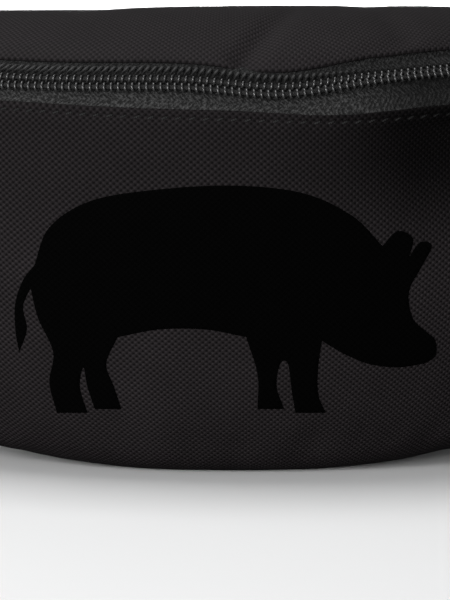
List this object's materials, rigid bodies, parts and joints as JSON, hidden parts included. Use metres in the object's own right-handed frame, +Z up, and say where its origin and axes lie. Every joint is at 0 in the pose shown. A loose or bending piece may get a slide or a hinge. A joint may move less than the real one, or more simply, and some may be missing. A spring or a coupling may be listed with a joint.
{
  "type": "belt bag",
  "caption": "Crescent-shaped zipped belt bag with a padded back, webbing belt and side-release buckle; a plain pig silhouette is printed on its front.",
  "frame": {"origin": "middle of the flat base of the pouch, on the surface that the bag stands on", "axes": "+Z up; the printed front looks along -Y, +X is to the right of someone facing it, and the belt's loop lies towards +Y"},
  "size_m": [0.4664, 0.2313, 0.1244],
  "materials": {
    "cloth": "matte woven",
    "pad_cloth": "matte air mesh",
    "tape": "matte herringbone",
    "coil": "slightly glossy nylon",
    "slider": "black enamel",
    "puller": "matte",
    "webbing": "ribbed webbing",
    "buckle": "fine moulded texture"
  },
  "bodies": {
    "bag": {"front_panel": "cloth", "top_panel": "cloth", "back_panel": "pad_cloth", "filled_lining": "cloth", "zip_end_left": "cloth", "zip_end_right": "cloth", "wing_left": "cloth", "wing_right": "cloth", "side_binding_left": "tape", "side_binding_right": "tape", "zip_tape_lower": "tape", "zip_tape_upper": "tape", "zip_coil_lower": "coil", "zip_coil_upper": "coil", "belt_left": "webbing", "belt_right": "webbing", "buckle_socket": "buckle"},
    "slider": {"zip_slider": "slider"},
    "puller": {"zip_puller": "puller"},
    "insert": {"buckle_insert": "buckle", "belt_keeper": "webbing"}
  },
  "joints": [
    {"name": "zip_slide", "type": "hinge", "parent": "bag", "child": "slider", "pos_m": [0, 0.12753, 0], "axis": [0, 0, -1], "range_deg": [0, 80]},
    {"name": "puller_swing", "type": "hinge", "parent": "slider", "child": "puller", "pos_m": [0.1111, -0.00534, 0.1104], "axis": [-0.3957, 0.4716, 0.788], "range_deg": [0, 160]},
    {"name": "buckle_release", "type": "slide", "parent": "bag", "child": "insert", "axis": [1, 0, 0], "range_m": [0, 0.024], "deforming": ["belt_right"]}
  ]
}
